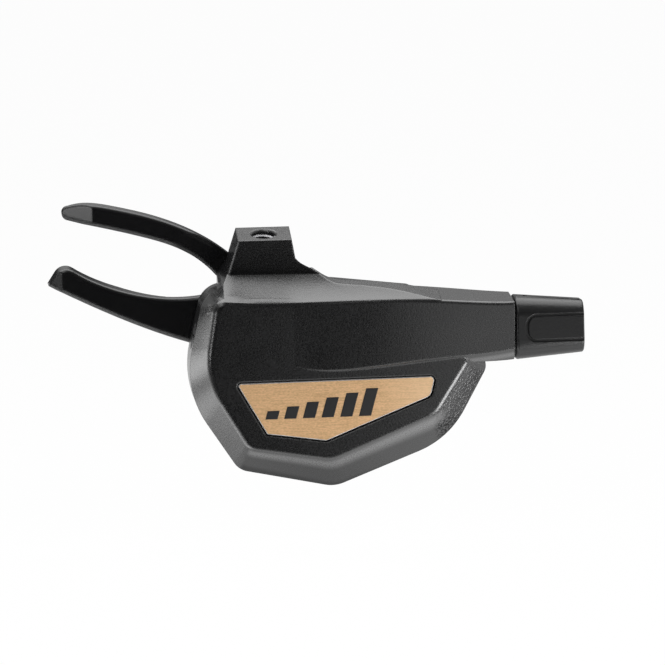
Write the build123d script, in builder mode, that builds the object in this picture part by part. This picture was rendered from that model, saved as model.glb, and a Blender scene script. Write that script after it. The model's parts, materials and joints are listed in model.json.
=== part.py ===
"""Trigger gear shifter for a bicycle: housing, two thumb levers, cable spool with ratchet, cable adjuster.

Millimetres. The origin is the centre of the clamp thread's mouth, on top of the pedestal. X runs along the
cable towards the adjuster, Z towards the handlebar, and the outer face with the badge looks along -Y.
"""

from build123d import *
import math
import os

os.makedirs("parts", exist_ok=True)

# Clearances
running_gap = 0.06
press_gap = 0.02
play = 0.3
lever_gap = 0.4
spring_gap = 0.25

# Main axle, placed from the clamp thread
axle_x = 8.0
axle_z = -33.0
axle_radius = 3.5
axle_thread_radius = 3.0
axle_seat_depth = 3.4
spring_slot_width = 0.9
spring_slot_depth = 1.5

# Depths along the axle, from the outer face to the back
face_y = -8.3
face_tilt = 2.6
rim_y = -3.0
parting_y = 6.2
lever_thickness = 2.4
base_plate_thickness = 1.5
rear_cover_thickness = 2.0
washer_thickness = 0.3

# Housing outline about the axle: rim corners and face corners with their radii
rim_corners = [
    (-21.0, 22.3),
    (6.0, 22.3),
    (24.5, 20.1),
    (39.4, 4.7),
    (30.6, -11.4),
    (6.0, -21.0),
    (-14.4, -16.8),
    (-25.9, 0.7),
]
rim_radii = [5.5, 40.0, 2.5, 3.0, 19.0, 7.0, 4.2, 20.8]
face_corners = [
    (-19.1, 20.4),
    (4.0, 19.5),
    (26.0, 17.8),
    (34.6, 6.1),
    (27.4, -5.1),
    (5.1, -14.2),
    (-12.4, -11.4),
    (-21.5, 4.1),
]
face_radii = [2.5, 60.0, 1.5, 2.0, 4.0, 6.0, 3.0, 18.0]
crease_radius = 1.6
cover_cut = [(-30.0, 3.6), (-2.6, 30.0), (-30.0, 30.0)]
wall = 2.0
face_wall = 2.4
cavity_taper = 48

# Pedestal with the clamp thread
clamp_tilt = 12.5
pedestal_width = 11.4
pedestal_depth = 8.2
pedestal_height = 14.0
pedestal_chamfer = 0.35
pedestal_left = [(-9.8, -10.4), (-9.3, -9.2), (-7.8, -7.2)]
pedestal_right = (6.5, -4.5)
flare_edge = [
    (6.5, -4.2),
    (7.15, -4.95),
    (9.6, -6.5),
    (12.6, -8.45),
    (14.4, -9.2),
    (17.6, -9.6),
    (22.5, -9.95),
    (27.4, -10.5),
    (33.0, -11.5),
    (37.0, -12.3),
]
flare_depth = 3.0
flare_drop = 1.6
cove_top = (-1.5, 26.1)
cove_sag = 0.45
cove_skirt = 1.3
# Front edge of the cove: x, height over the face and height about the axle
cove_front_edge = [
    (-9.0, -0.05, 20.3),
    (9.0, -0.05, 19.6),
    (25.0, 0.42, 19.65),
    (37.5, 0.49, 19.2),
]
foot_edge = [(-9.3, -9.2), (-10.4, -10.05), (-12.0, -10.6)]
hip_x = -13.0
hip_top = (-1.5, 20.5)
hip_front = (-7.2, 19.0)
clamp_thread_radius = 2.5
clamp_thread_depth = 8.0
clamp_chamfer = 0.4

# Cable tunnel, which carries the adjuster
tunnel_end_x = 52.7
tunnel_height = 12.8
tunnel_front_y = -6.6
tunnel_top_slope = 0.2
tunnel_low_rise = 2.7
tunnel_edge_radius = 0.7
# Tunnel sections: x, height over the face, front edge of the top, its slope, lower lip and its rise
tunnel_sections = [
    (4.0, -0.02, 7.75, 1.6, -5.4, 0.1),
    (14.0, 0.25, 7.7, 1.6, -6.9, 0.3),
    (28.0, 0.65, 7.85, 1.0, -5.75, 0.75),
    (40.0, 0.6, 7.1, 0.7, -4.8, 1.6),
]
tunnel_solid_x = 31.5
cable_hole_radius = 1.3

# Badge
badge_corners = [(-15.5, 3.0), (28.0, 3.1), (26.8, -1.7), (4.1, -10.6), (-8.8, -8.7)]
badge_radii = [0.9, 1.2, 2.0, 1.2, 0.9]
badge_recess = 0.9
badge_thickness = 0.7
badge_gap = 0.35
badge_chamfer = 0.18

# Rear cover and base plate
cover_wall = 1.8
cover_draft = 5.0
window_right_x = 6.0
window_bottom_z = 4.6
pillar_radius = 2.2
pillar_spots = [(-12.5, -11.6), (30.0, -2.6), (19.5, 16.1)]
screw_radius = 1.2
screw_head_radius = 2.2
screw_head_height = 1.2
screw_length = 10.0
screw_socket_radius = 1.2
socket_share = 0.7
cover_chamfer = 0.6
nut_radius = 5.6
nut_chamfer = 0.3
nut_hole_radius = 6.4
washer_radius = 6.0

# Spool and ratchet
spool_groove_radius = 11.25
cable_radius = 0.6
spool_flange_radius = 13.5
spool_width = 4.8
groove_half_width = 0.8
cable_head_radius = 2.0
bush_radius = 5.0
ratchet_thickness = 2.0
tooth_count = 24
tooth_root_radius = 12.7
tooth_tip_radius = 14.0
tooth_lean = 1.5
tooth_land = 1.5
first_tooth_angle = 8.0
stud_radius = 1.1
stud_circle = 8.4
spool_dish_inner = 6.2
spool_dish_outer = 10.0
spool_dish_depth = 1.2
peg_circle = 11.2
peg_radius = 0.8
boss_slot_depth = 1.0

# Pawls: lengths along and across the tooth that the beak enters
pawl_thickness = 1.8
pawl_reach = 12.0
pawl_stand = 1.65
pawl_hub_radius = 2.4
pawl_pin_radius = 1.25
beak_clearance = 0.25
drive_tooth = 10
tail_angle = -51.5
tail_circle = 16.8
tail_radius = 1.3
stud_along = 5.0
stud_out = 0.9
pawl_stud_radius = 0.55
pawl_stud_height = 1.6
pin_head_lip = 0.4
pawl_pin_seat = 1.0
neck_y = 0.6
neck_radius = 1.75

# Levers, with the edges of their thumb blades about the axle
hub_radius = 8.5
pull_top_edge = [(-49.1, 39.35), (-46.3, 39.85), (-39.5, 39.0), (-32.7, 37.3), (-19.2, 31.4), (-9.5, 22.5)]
pull_low_edge = [(-12.3, 15.5), (-17.8, 23.7), (-22.9, 28.3), (-33.0, 32.5), (-46.6, 35.9), (-49.6, 36.6)]
pull_tip = (-50.5, 38.0)
pull_root = [pull_top_edge[-1], pull_low_edge[0], (-8.3, 1.5), (6.5, 5.4), (-5.2, 19.5)]
release_top_edge = [(-48.2, 25.1), (-42.7, 22.2), (-36.0, 19.95), (-29.3, 18.75), (-20.9, 18.9)]
release_low_edge = [(-20.0, 7.8), (-29.6, 10.9), (-43.1, 16.7), (-53.5, 21.9)]
release_hook = [(-52.0, 24.2), (-50.5, 25.4)]
release_root = [release_top_edge[-1], release_low_edge[0], (-5.5, -6.5), (5.5, 6.5), (-8.0, 14.5)]
finger_root = [(-5.0, -5.0), (7.0, -3.0)]
blade_edge_radius = 0.8
pull_ramp_length = 9.0
pull_ramp_step = 1.9
release_ramp_length = 10.0
release_ramp_step = 3.2
pull_blade_front_y = 4.6
release_blade_back_y = 15.2
pull_facet_end = (-51.5, 7.4)
pull_facet_length = 7.5
release_facet_end = (-54.5, 11.2)
release_facet_length = 4.0
blade_start_radius = 34.0
pull_pad_radius = 32.5
finger_circle = 17.0
finger_angle = -70.0
finger_radius = 1.2
finger_spread = 6.0
lever_peg_circle = 7.6
lever_peg_radius = 0.6
anchor_peg_along = 4.0
anchor_angle = -45.0

# Springs
strip_thickness = 0.5
wire = 0.55
spool_spring_width = 2.3
lever_spring_width = 1.3
coil_points_per_turn = 8
spring_touch = 0.05
spool_coil_turns = 3.25
spool_coil_start = 200.0
spool_coil_outer = 9.6
lever_coil_turns = 2.25
lever_coil_start = -90.0
lever_coil_outer = 6.3
hairpin_gap = 0.1
hold_anchor_angle = -28.0
hold_anchor_length = 7.3
stud_leg_length = 7.8
anchor_leg_length = 5.0
detent_coil_radius = 4.0
detent_turns = 3

# Adjuster
knob_length = 14.7
knob_turn = -4.5
knob_start_size = 13.6
knob_end_size = 11.2
knob_start_corner = 4.2
knob_end_corner = 3.6
knob_gap = 0.3
knob_web = 1.0
knob_edge_radius = 0.5
stem_radius = 3.0
stem_head_radius = 4.1
stem_inner_x = 34.4
stem_end_gap = 0.7
housing_seat_radius = 2.55
housing_seat_depth = 10.0
sleeve_outer_radius = 4.9
sleeve_length = 5.8
sleeve_proud = 0.1
detent_bore_depth = 10.2
key_width = 1.4
key_height = 0.6
panel_height = 6.0
panel_start = 2.1
panel_corner = 2.4
groove_width = 0.6
groove_depth = 0.45

# Cable port
port_radius = 2.6
plug_inner_x = -12.7
plug_blank = 12.0
plug_slot_width = 0.7
plug_slot_x = -14.9

# Sizes that follow
cable_z = axle_z + spool_groove_radius + cable_radius
spool_front_y = -spool_width / 2
spool_back_y = spool_width / 2
ratchet_back_y = spool_back_y + ratchet_thickness
pawl_front_y = spool_back_y + (ratchet_thickness - pawl_thickness) / 2
pawl_back_y = pawl_front_y + pawl_thickness
pull_front_y = parting_y + lever_gap
pull_back_y = pull_front_y + lever_thickness
release_front_y = pull_back_y + lever_gap
release_back_y = release_front_y + lever_thickness
base_plate_y = release_back_y + lever_spring_width + 2 * spring_gap
cover_plate_y = base_plate_y + base_plate_thickness
cover_back_y = cover_plate_y + rear_cover_thickness
tail_front_y = ratchet_back_y + play
tail_back_y = parting_y
boss_end_y = spool_front_y - play
detent_bore_radius = sleeve_outer_radius + 2 * running_gap
sleeve_end_x = tunnel_end_x + sleeve_proud
detent_floor_x = tunnel_end_x - detent_bore_depth
detent_coil_height = sleeve_end_x - sleeve_length - detent_floor_x - 2 * wire
pull_spring_y = pull_front_y - spring_gap - lever_spring_width
release_spring_y = release_back_y + spring_gap
window_back_y = release_back_y + lever_gap
screw_tip_y = cover_back_y - screw_head_height - screw_length
knob_start_x = tunnel_end_x + knob_gap
knob_end_x = knob_start_x + knob_length
tooth_pitch = 360 / tooth_count


def at_depth(y):
    """Sketch plane across the axle at depth y, drawn about the axle and facing outwards."""
    return Plane(origin=(axle_x, y, axle_z), x_dir=(1, 0, 0), z_dir=(0, -1, 0))


def across_cable(x):
    """Sketch plane across the cable line at x, with local x to the back and local y up."""
    return Plane(origin=(x, 0, cable_z), x_dir=(0, 1, 0), z_dir=(1, 0, 0))


def across_housing(x):
    """Sketch plane across the housing at x, with local x to the back and local y up from the axle."""
    return Plane(origin=(x, 0, axle_z), x_dir=(0, 1, 0), z_dir=(1, 0, 0))


def face_at(x):
    """Depth of the tilted outer face at x."""
    return face_y + (x - axle_x) * math.tan(math.radians(face_tilt))


def polar(radius, angle):
    """Point at a radius and an angle in degrees about the axle."""
    return (radius * math.cos(math.radians(angle)), radius * math.sin(math.radians(angle)))


def rounded_outline(corners, radii):
    """Closed outline with its own radius at each corner."""
    with BuildSketch() as outline:
        with BuildLine():
            FilletPolyline(*corners, radius=radii, close=True)
        make_face()
    return outline.sketch


def spiral_strip(inner_radius, outer_radius, turns, start_angle, inner_tang, outer_tang):
    """Flat spiral spring: a strip that winds outwards, with a radial tang at each end."""
    steps = int(turns * coil_points_per_turn)

    def rail(extra):
        points = []
        for i in range(steps + 1):
            grown = inner_radius + (outer_radius - inner_radius) * i / steps
            points.append(polar(grown + extra, start_angle + 360 * turns * i / steps))
        return points

    inner_rail = rail(0)
    outer_rail = rail(strip_thickness)
    end_angle = start_angle + 360 * turns
    with BuildSketch() as strip:
        with BuildLine():
            Spline(*inner_rail)
            Line(inner_rail[-1], outer_rail[-1])
            Spline(*outer_rail[::-1])
            Line(outer_rail[0], inner_rail[0])
        make_face()
        for angle, low, high in (
            (start_angle, inner_radius - inner_tang, inner_radius + strip_thickness),
            (end_angle, outer_radius, outer_radius + strip_thickness + outer_tang),
        ):
            with Locations(Location((*polar((low + high) / 2, angle), 0), (0, 0, angle))):
                Rectangle(high - low, strip_thickness)
    return strip.sketch


def hairpin(inner_radius, first_angle, first_length, second_angle, second_length):
    """Bent wire spring: an open ring with two tangent legs, drawn about its pin."""
    middle = inner_radius + wire / 2
    with BuildSketch() as bent:
        Circle(inner_radius + wire)
        Circle(inner_radius, mode=Mode.SUBTRACT)
        for angle, length, side in ((first_angle, first_length, 1), (second_angle, second_length, -1)):
            with Locations(Location((0, 0, 0), (0, 0, angle))):
                with Locations((length / 2, side * middle)):
                    Rectangle(length, wire)
    return bent.sketch


def pawl_point(angle, along, out):
    """Point beside the tooth at this angle: along the rim from its steep face, and out from the axle."""
    a = math.radians(angle)
    return (out * math.cos(a) + along * math.sin(a), out * math.sin(a) - along * math.cos(a))


def pawl_outline(angle):
    """Outline of a pawl whose beak stands in the tooth space at this angle."""
    tip = tooth_root_radius + beak_clearance
    crest = tooth_tip_radius
    pivot_out = tooth_root_radius + pawl_stand
    nose = [
        (0.12, tip),
        (3.4, crest + 0.1),
        (pawl_reach, pivot_out - pawl_hub_radius),
        (pawl_reach, pivot_out + pawl_hub_radius),
        (4.0, crest + 2.2),
        (0.5, crest + 1.0),
    ]
    return [pawl_point(angle, along, out) for along, out in nose]


def leg_angle(pivot, stud, inner_radius):
    """Direction of a hairpin leg that lies against the outer side of a pawl's stud."""
    dx, dy = stud[0] - pivot[0], stud[1] - pivot[1]
    inset = inner_radius - pawl_stud_radius - spring_touch
    return math.degrees(math.atan2(dy, dx) + math.asin(inset / math.hypot(dx, dy)))


def peg_angle(tang_angle, circle, radius):
    """Angle of a peg that stands against the clockwise side of a spring's tang."""
    return tang_angle - math.degrees((radius + strip_thickness / 2 + spring_touch) / circle)


def knob_side_plane(angle):
    """Plane on one tapered side of the knob, with local x along the cable."""
    a = math.radians(angle)
    slope = math.atan((knob_start_size - knob_end_size) / 2 / knob_length)
    out = (math.cos(a), math.sin(a))
    return Plane(
        origin=(knob_start_x, out[0] * knob_start_size / 2, cable_z + out[1] * knob_start_size / 2),
        x_dir=(math.cos(slope), -math.sin(slope) * out[0], -math.sin(slope) * out[1]),
        z_dir=(math.sin(slope), math.cos(slope) * out[0], math.cos(slope) * out[1]),
    )


def panel_outline(inset):
    """U-shaped panel on a side of the knob, open to its outer end."""
    half = panel_height / 2 - inset
    start = panel_start + inset
    end = knob_length + panel_start
    corner = panel_corner - inset
    with BuildSketch() as panel:
        with BuildLine():
            Line((start + corner, -half), (end, -half))
            Line((end, -half), (end, half))
            Line((end, half), (start + corner, half))
            RadiusArc((start + corner, half), (start, half - corner), -corner)
            if half > corner:
                Line((start, half - corner), (start, corner - half))
            RadiusArc((start, corner - half), (start + corner, -half), -corner)
        make_face()
    return panel.sketch


def cove_section(top, front):
    """Section of the cove: hollow from its top to its front edge, with a skirt that sinks into the body."""
    low = front[1] - cove_skirt
    run = (top[0] - front[0], top[1] - front[1])
    sag = cove_sag / math.hypot(*run)
    middle = (front[0] + run[0] / 2 + sag * run[1], front[1] + run[1] / 2 - sag * run[0])
    with BuildSketch() as section:
        with BuildLine():
            ThreePointArc(top, middle, front)
            Polyline(front, (front[0], low), (top[0], low), top)
        make_face()
    return section.sketch


def tip_wedge(end, length, front_y):
    """Wedge in front of a lever's tip, whose cut leaves a slanted facet on the thumb blade."""
    with BuildPart() as wedge:
        with BuildSketch(Plane(origin=(axle_x, 0, axle_z))):
            with BuildLine():
                Polyline(end, (end[0] + length, front_y), (end[0], front_y), close=True)
            make_face()
        extrude(amount=-2 * axle_z)
    return wedge.part


face_plane = Plane(
    origin=(axle_x, face_y, axle_z),
    x_dir=(math.cos(math.radians(face_tilt)), math.sin(math.radians(face_tilt)), 0),
    z_dir=(math.sin(math.radians(face_tilt)), -math.cos(math.radians(face_tilt)), 0),
)
clamp_plane = Plane(
    origin=(0, 0, 0),
    x_dir=(1, 0, 0),
    z_dir=(0, -math.cos(math.radians(clamp_tilt)), -math.sin(math.radians(clamp_tilt))),
)
clamp_mouth = Plane(
    origin=(0, 0, 0),
    x_dir=(1, 0, 0),
    z_dir=(0, -math.sin(math.radians(clamp_tilt)), math.cos(math.radians(clamp_tilt))),
)
rim_outline = rounded_outline(rim_corners, rim_radii)
with BuildSketch() as cover_outline:
    add(rim_outline)
    with BuildLine():
        Polyline(*cover_cut, close=True)
    make_face(mode=Mode.SUBTRACT)
face_outline = rounded_outline(face_corners, face_radii)
hold_angle = first_tooth_angle
drive_angle = first_tooth_angle + drive_tooth * tooth_pitch
hold_pivot = pawl_point(hold_angle, pawl_reach, tooth_root_radius + pawl_stand)
drive_pivot = pawl_point(drive_angle, pawl_reach, tooth_root_radius + pawl_stand)
hold_stud = pawl_point(hold_angle, stud_along, tooth_tip_radius + stud_out)
drive_stud = pawl_point(drive_angle, stud_along, tooth_tip_radius + stud_out)
spool_coil_end = spool_coil_start + 360 * spool_coil_turns
lever_coil_end = lever_coil_start + 360 * lever_coil_turns
spool_peg = polar(peg_circle, peg_angle(spool_coil_end, peg_circle, peg_radius))
lever_peg = polar(lever_peg_circle, peg_angle(lever_coil_end, lever_peg_circle, lever_peg_radius))
axle_line = Axis((axle_x, 0, axle_z), (0, 1, 0))
outward = Axis(face_plane.origin, face_plane.z_dir)

# Outer form of the housing: bevelled body, cable tunnel and pedestal
with BuildPart() as body_form:
    with BuildSketch(at_depth(rim_y)):
        add(rim_outline)
    with BuildSketch(face_plane):
        add(face_outline)
    loft(ruled=True)
    fillet(body_form.faces().sort_by(outward)[-1].edges(), crease_radius)
    with BuildSketch(at_depth(parting_y)):
        add(rim_outline)
    extrude(amount=parting_y - rim_y)

tunnel_half = tunnel_height / 2
tunnel_end_low = tunnel_low_rise - tunnel_half
tunnel_end_over = face_at(tunnel_end_x) - tunnel_front_y
with BuildPart() as tunnel_form:
    for x, over, top, slope, low, rise in (
        *tunnel_sections,
        (tunnel_end_x, tunnel_end_over, tunnel_half, tunnel_top_slope, tunnel_end_low, tunnel_low_rise),
    ):
        front = face_at(x) - over
        with BuildSketch(across_cable(x)):
            with BuildLine():
                Polyline(
                    (parting_y, top + slope),
                    (front, top),
                    (front, low),
                    (front + rise, low - rise),
                    (parting_y, low - rise),
                    close=True,
                )
            make_face()
    loft()
    front_edges = tunnel_form.edges().filter_by(lambda e: e.length > tunnel_solid_x and e.center().Y < 0)
    fillet(front_edges.sort_by(Axis.Z)[-1], tunnel_edge_radius)

half = pedestal_width / 2
with BuildSketch() as pedestal_outline:
    with BuildLine():
        Polyline(
            (-half, 0),
            (half, 0),
            pedestal_right,
            (pedestal_right[0], -pedestal_height),
            (pedestal_left[0][0], -pedestal_height),
            *pedestal_left,
            close=True,
        )
    make_face()

with BuildSketch() as flare_outline:
    with BuildLine():
        Spline(*flare_edge)
        Polyline(
            flare_edge[-1],
            (flare_edge[-1][0], -pedestal_height),
            (half, -pedestal_height),
            (half, flare_edge[0][1]),
            flare_edge[0],
        )
    make_face()

with BuildSketch() as foot_outline:
    with BuildLine():
        Polyline(*foot_edge, (hip_x, -pedestal_height), (0, -pedestal_height), close=True)
    make_face()

with BuildPart() as pedestal_form:
    with BuildSketch(clamp_plane):
        with Locations((0, clamp_chamfer)):
            add(pedestal_outline.sketch)
    extrude(amount=pedestal_depth / 2, both=True)
    front = pedestal_form.faces().sort_by(Axis(clamp_plane.origin, clamp_plane.z_dir))[-1]
    chamfer(front.edges().filter_by(lambda e: e.center().X < -half), pedestal_chamfer)

# Flare at the pedestal's right, whose back lies lower than its front
with BuildPart() as flare_form:
    with BuildSketch(clamp_plane.offset(pedestal_depth / 2)):
        with Locations((0, clamp_chamfer)):
            add(flare_outline.sketch)
    with BuildSketch(clamp_plane.offset(pedestal_depth / 2 - flare_depth)):
        with Locations((0, clamp_chamfer - flare_drop)):
            add(flare_outline.sketch)
    loft(ruled=True)

# Cove from the pedestal's front to the top of the face, cut to the outline of pedestal and flare
cove_line = [(x, cove_top, (face_at(x) - over, height)) for x, over, height in cove_front_edge]
with BuildPart() as cove_form:
    for x, top, front in ((hip_x, hip_top, hip_front), cove_line[0]):
        with BuildSketch(across_housing(x)):
            add(cove_section(top, front))
    loft(ruled=True)
    for x, top, front in cove_line:
        with BuildSketch(across_housing(x)):
            add(cove_section(top, front))
    loft()
    with BuildSketch(clamp_plane):
        with Locations((0, clamp_chamfer)):
            add(pedestal_outline.sketch)
            add(flare_outline.sketch)
            add(foot_outline.sketch)
    extrude(amount=2 * pedestal_depth, both=True, mode=Mode.INTERSECT)

with BuildPart() as outer_form:
    add(body_form.part)
    add(tunnel_form.part)
    add(pedestal_form.part)
    add(flare_form.part)
    add(cove_form.part)
    split(bisect_by=at_depth(parting_y), keep=Keep.TOP)

# Hollow of the housing, which leaves the tunnel solid around the adjuster
with BuildPart() as cavity:
    with BuildSketch(at_depth(parting_y)):
        add(rim_outline)
        offset(amount=-wall, mode=Mode.REPLACE)
    extrude(amount=parting_y - boss_end_y)
    with BuildSketch(at_depth(boss_end_y)):
        add(rim_outline)
        offset(amount=-wall, mode=Mode.REPLACE)
    extrude(amount=boss_end_y - face_y - face_wall, taper=cavity_taper)
    with BuildSketch(across_cable(tunnel_solid_x)):
        Rectangle(tunnel_end_x, 1.6 * tunnel_height)
    extrude(amount=tunnel_end_x, mode=Mode.SUBTRACT)

# Posts inside the housing, trimmed by its outer form
with BuildPart() as posts:
    with BuildSketch(at_depth(base_plate_y)):
        with Locations(*pillar_spots):
            Circle(pillar_radius)
    extrude(amount=base_plate_y - face_y)
    with BuildSketch(at_depth(boss_end_y)):
        Circle(bush_radius)
    extrude(amount=boss_end_y - face_y)
    with BuildSketch(at_depth(spool_back_y - play)):
        with Locations(hold_pivot):
            Circle(neck_radius)
    extrude(amount=spool_back_y - face_y)
    with BuildSketch(at_depth(neck_y)):
        with Locations(hold_pivot):
            Circle(pawl_hub_radius)
    extrude(amount=neck_y - face_y)

with BuildPart() as trimmed_posts:
    add(posts.part)
    add(outer_form.part, mode=Mode.INTERSECT)

with BuildPart() as front_housing:
    add(outer_form.part)
    add(cavity.part, mode=Mode.SUBTRACT)
    add(trimmed_posts.part)
    with BuildSketch(at_depth(base_plate_y)):
        with Locations(*pillar_spots):
            Circle(pillar_radius)
    extrude(amount=base_plate_y - parting_y)
    # Axle seat with the slot for the spool spring
    with BuildSketch(at_depth(boss_end_y)):
        Circle(axle_radius + press_gap)
    extrude(amount=axle_seat_depth, mode=Mode.SUBTRACT)
    with BuildSketch(at_depth(boss_end_y)):
        with Locations(Location((*polar(bush_radius, spool_coil_start), 0), (0, 0, spool_coil_start))):
            Rectangle(2 * boss_slot_depth, spring_slot_width)
    extrude(amount=spool_spring_width + 2 * spring_gap, mode=Mode.SUBTRACT)
    # Screw holes in the pillars
    with BuildSketch(at_depth(base_plate_y)):
        with Locations(*pillar_spots):
            Circle(screw_radius + press_gap)
    extrude(amount=base_plate_y - screw_tip_y + play, mode=Mode.SUBTRACT)
    # Hole for the holding pawl's pin
    with BuildSketch(at_depth(spool_back_y)):
        with Locations(hold_pivot):
            Circle(pawl_pin_radius + press_gap)
    extrude(amount=spool_back_y + pawl_pin_seat + play, mode=Mode.SUBTRACT)
    # Badge recess
    with BuildSketch(face_plane):
        add(rounded_outline(badge_corners, badge_radii))
    extrude(amount=-badge_recess, mode=Mode.SUBTRACT)
    # Bores of the cable tunnel
    with BuildSketch(across_cable(tunnel_end_x)):
        Circle(detent_bore_radius)
        with Locations((0, sleeve_outer_radius)):
            Rectangle(key_width + 2 * running_gap, 2 * (key_height + running_gap))
    extrude(amount=-detent_bore_depth, mode=Mode.SUBTRACT)
    with BuildSketch(across_cable(tunnel_end_x)):
        Circle(stem_radius + running_gap)
    extrude(amount=stem_inner_x - play - tunnel_end_x, mode=Mode.SUBTRACT)
    with BuildSketch(across_cable(tunnel_end_x)):
        Circle(cable_hole_radius)
    extrude(amount=tunnel_solid_x - 1 - tunnel_end_x, mode=Mode.SUBTRACT)
    # Cable port in the side wall, opposite the adjuster
    with BuildSketch(across_cable(plug_inner_x)):
        Circle(port_radius)
    extrude(amount=-plug_blank, mode=Mode.SUBTRACT)
    # Clamp thread as a plain bore, with a chamfered mouth
    with BuildSketch(clamp_mouth):
        Circle(clamp_thread_radius)
    extrude(amount=-clamp_thread_depth, mode=Mode.SUBTRACT)
    with BuildSketch(clamp_mouth.offset(clamp_chamfer)):
        Circle(clamp_thread_radius + clamp_chamfer)
    extrude(amount=-clamp_chamfer, taper=45, mode=Mode.SUBTRACT)
front_housing.part.label = "front_housing"
export_step(front_housing.part, "parts/front_housing.step")

# Badge plate, let into the face
with BuildPart() as badge_plate:
    with BuildSketch(face_plane.offset(-badge_recess)):
        add(rounded_outline(badge_corners, badge_radii))
        offset(amount=-badge_gap, mode=Mode.REPLACE)
    extrude(amount=badge_thickness)
    chamfer(badge_plate.faces().sort_by(outward)[-1].edges(), badge_chamfer)
badge_plate.part.label = "badge_plate"
export_step(badge_plate.part, "parts/badge_plate.step")

# Rear cover: a tray with a window for the levers
with BuildPart() as rear_cover:
    with BuildSketch(at_depth(parting_y)):
        add(rim_outline)
    extrude(amount=parting_y - cover_back_y, taper=cover_draft)
    chamfer(rear_cover.faces().sort_by(Axis.Y)[-1].edges(), cover_chamfer)
    with BuildSketch(at_depth(parting_y)):
        with BuildLine():
            Polyline(*cover_cut, close=True)
        make_face()
    extrude(amount=parting_y - cover_back_y, mode=Mode.SUBTRACT)
    with BuildSketch(at_depth(cover_plate_y)):
        add(cover_outline.sketch)
        offset(amount=-cover_wall, mode=Mode.REPLACE)
    extrude(amount=cover_plate_y - parting_y, mode=Mode.SUBTRACT)
    with BuildSketch(at_depth(window_back_y)):
        with Locations((window_right_x, window_bottom_z)):
            Rectangle(tunnel_end_x, tunnel_end_x, align=(Align.MAX, Align.MIN))
    extrude(amount=window_back_y - parting_y, mode=Mode.SUBTRACT)
    with BuildSketch(at_depth(cover_back_y)):
        Circle(nut_hole_radius)
        with Locations(*pillar_spots):
            Circle(screw_radius + play)
    extrude(amount=rear_cover_thickness, mode=Mode.SUBTRACT)
    with BuildSketch(at_depth(cover_back_y)):
        with Locations(*pillar_spots):
            Circle(screw_head_radius + play)
    extrude(amount=screw_head_height, mode=Mode.SUBTRACT)
rear_cover.part.label = "rear_cover"
export_step(rear_cover.part, "parts/rear_cover.step")

# Base plate, which carries the back end of the axle
with BuildPart() as base_plate:
    with BuildSketch(at_depth(cover_plate_y)):
        add(cover_outline.sketch)
        offset(amount=-cover_wall - play, mode=Mode.REPLACE)
        Circle(axle_thread_radius + running_gap, mode=Mode.SUBTRACT)
        with Locations(*pillar_spots):
            Circle(screw_radius + play, mode=Mode.SUBTRACT)
    extrude(amount=base_plate_thickness)
base_plate.part.label = "base_plate"
export_step(base_plate.part, "parts/base_plate.step")

with BuildPart() as cover_screws:
    with BuildSketch(at_depth(cover_back_y)):
        with Locations(*pillar_spots):
            Circle(screw_head_radius)
    extrude(amount=screw_head_height)
    with BuildSketch(at_depth(cover_back_y)):
        with Locations(*pillar_spots):
            Circle(screw_radius)
    extrude(amount=screw_head_height + screw_length)
    with BuildSketch(at_depth(cover_back_y)):
        with Locations(*pillar_spots):
            RegularPolygon(screw_socket_radius, 6)
    extrude(amount=screw_head_height * socket_share, mode=Mode.SUBTRACT)
cover_screws.part.label = "cover_screws"
export_step(cover_screws.part, "parts/cover_screws.step")

# Main axle with a slot for the inner tang of each lever spring
with BuildPart() as main_axle:
    with BuildSketch(at_depth(base_plate_y)):
        Circle(axle_radius)
    extrude(amount=base_plate_y - boss_end_y + axle_seat_depth - play)
    with BuildSketch(at_depth(cover_back_y)):
        Circle(axle_thread_radius)
    extrude(amount=cover_back_y - base_plate_y)
    for spring_front in (pull_spring_y, release_spring_y):
        with BuildSketch(at_depth(spring_front + lever_spring_width + spring_gap / 2)):
            with Locations((0, -axle_radius)):
                Rectangle(spring_slot_width, 2 * spring_slot_depth)
        extrude(amount=lever_spring_width + spring_gap, mode=Mode.SUBTRACT)
main_axle.part.label = "main_axle"
export_step(main_axle.part, "parts/main_axle.step")

with BuildPart() as axle_nut:
    with BuildSketch(at_depth(cover_back_y)):
        RegularPolygon(nut_radius, 6)
        Circle(axle_thread_radius + press_gap, mode=Mode.SUBTRACT)
    extrude(amount=rear_cover_thickness)
    chamfer(axle_nut.faces().sort_by(Axis.Y)[-1].edges().filter_by(GeomType.LINE), nut_chamfer)
axle_nut.part.label = "axle_nut"
export_step(axle_nut.part, "parts/axle_nut.step")

with BuildPart() as axle_washers:
    for back in (ratchet_back_y + washer_thickness, pull_back_y + washer_thickness):
        with BuildSketch(at_depth(back + running_gap)):
            Circle(washer_radius)
            Circle(axle_radius + running_gap, mode=Mode.SUBTRACT)
        extrude(amount=washer_thickness)
axle_washers.part.label = "axle_washers"
export_step(axle_washers.part, "parts/axle_washers.step")

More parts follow.
